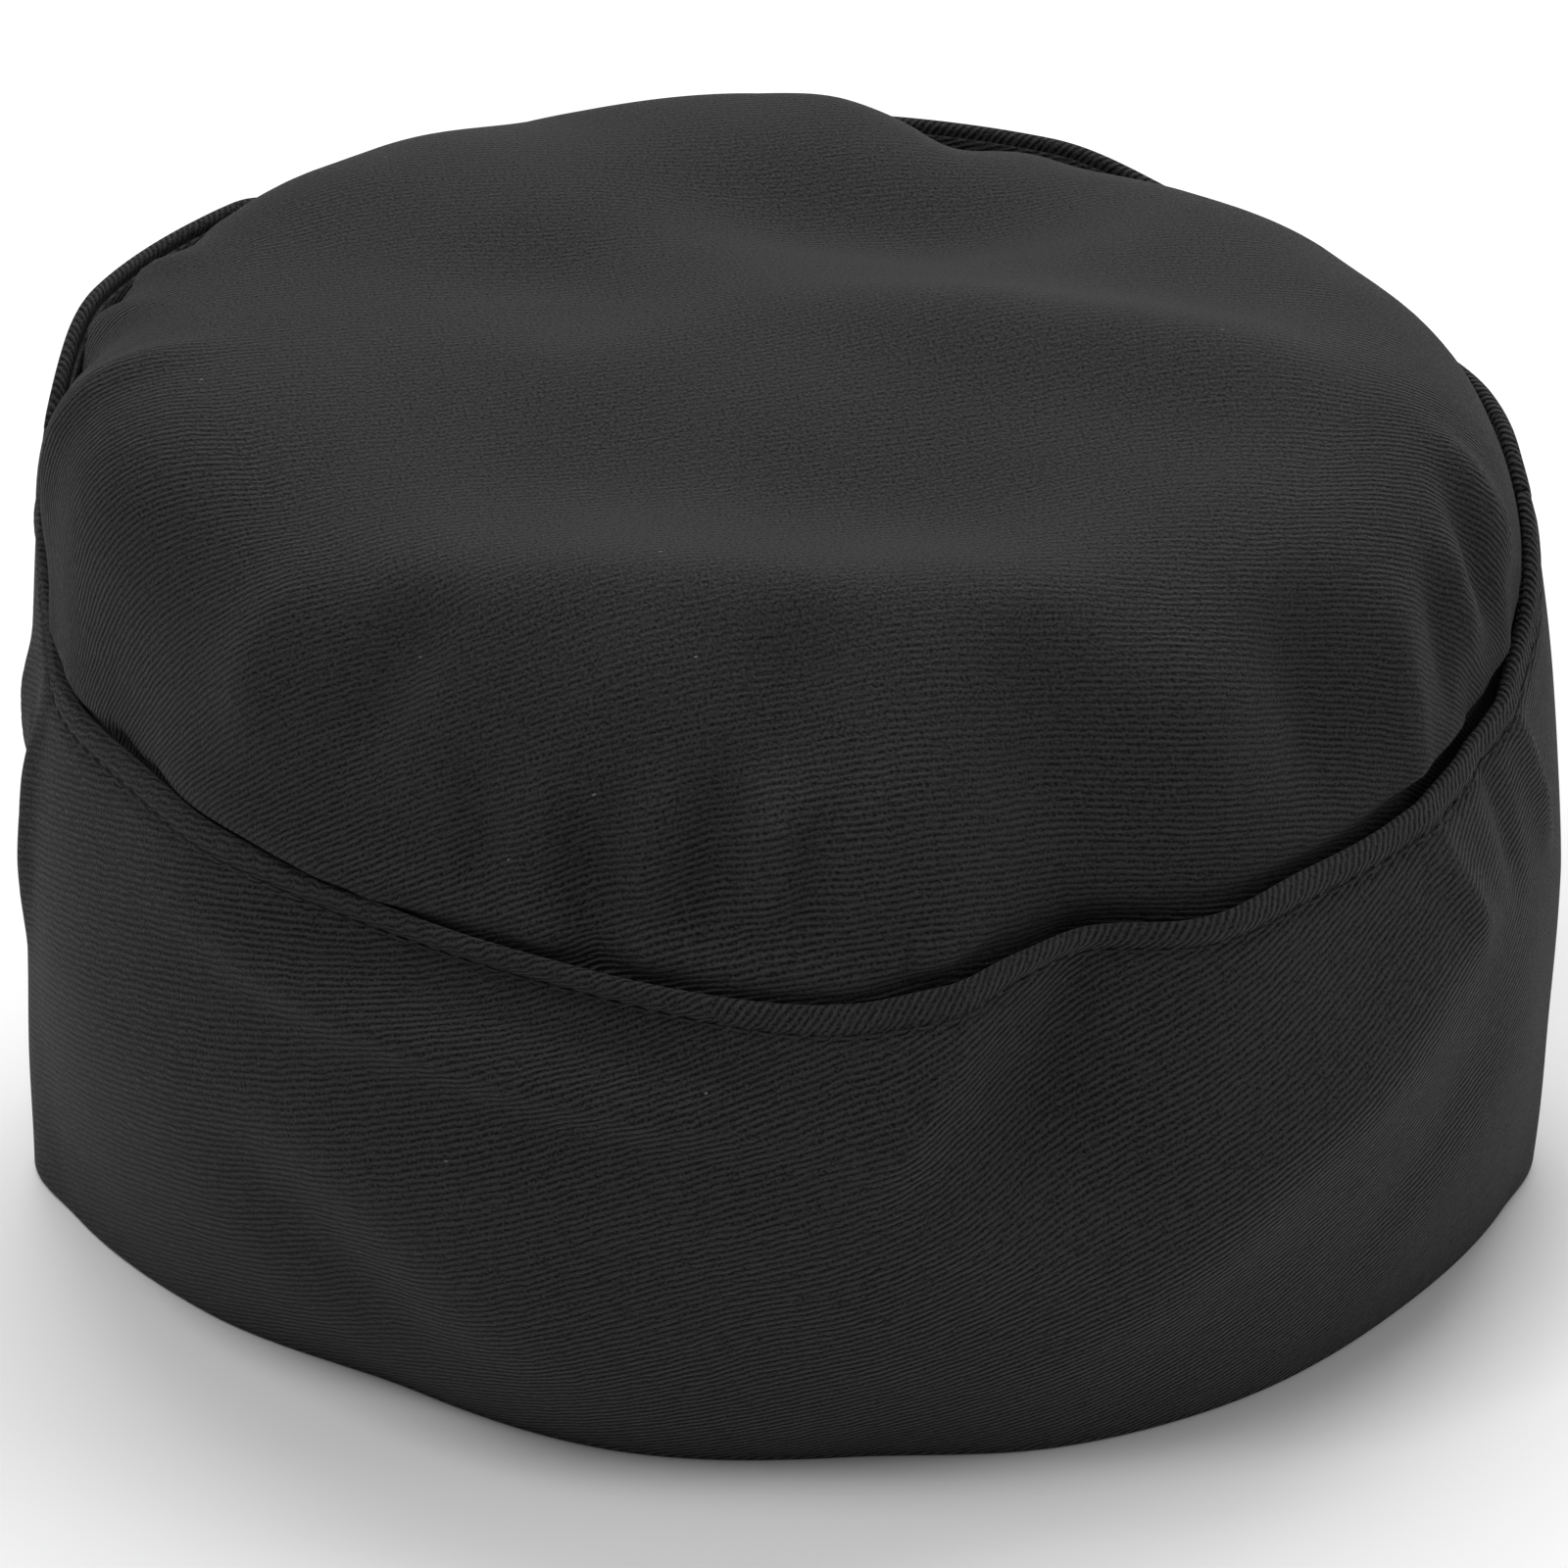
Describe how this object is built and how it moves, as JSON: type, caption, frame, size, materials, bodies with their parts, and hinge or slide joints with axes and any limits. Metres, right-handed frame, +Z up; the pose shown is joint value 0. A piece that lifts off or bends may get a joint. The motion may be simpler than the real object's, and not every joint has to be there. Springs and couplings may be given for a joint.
{
  "type": "chef cap",
  "caption": "Soft black twill chef's cap: a puffed crown inside a free-standing cuff that is low over the brow and high behind, with an elastic back.",
  "frame": {"origin": "on the table under the middle of the cap's outer box, in the plane of the rim", "axes": "+Z up, -Y towards the brow, +X towards the wearer's left temple, which is on the right when the cap is seen from the front"},
  "size_m": [0.193, 0.1739, 0.118],
  "materials": {
    "twill": "matt black cotton-polyester twill with a fine diagonal rib",
    "interlining": "matt grey non-woven felt",
    "tape": "matt black woven cotton tape",
    "thread": "spun polyester sewing thread, slight lustre",
    "elastic": "ribbed woven elastic, covered by its casing",
    "label": "blank satin-woven label, off-white"
  },
  "bodies": {
    "root": {"crown_panel": "twill", "crown_gather_stitch": "thread", "cuff_front_shell": "twill", "cuff_back_shell": "twill", "cuff_front_interlining": "interlining", "cuff_back_interlining": "interlining", "cuff_front_facing": "twill", "cuff_back_facing": "twill", "cuff_edge_stitch": "thread", "side_seam_stitch_left": "thread", "side_seam_stitch_right": "thread", "rim_binding": "tape", "rim_stitch": "thread", "sweatband": "tape", "sweatband_stitch": "thread", "back_elastic": "elastic", "elastic_casing": "twill", "casing_stitch": "thread", "elastic_tack_left": "thread", "elastic_tack_right": "thread", "care_label": "label", "care_label_stitch": "thread"}
  },
  "joints": []
}
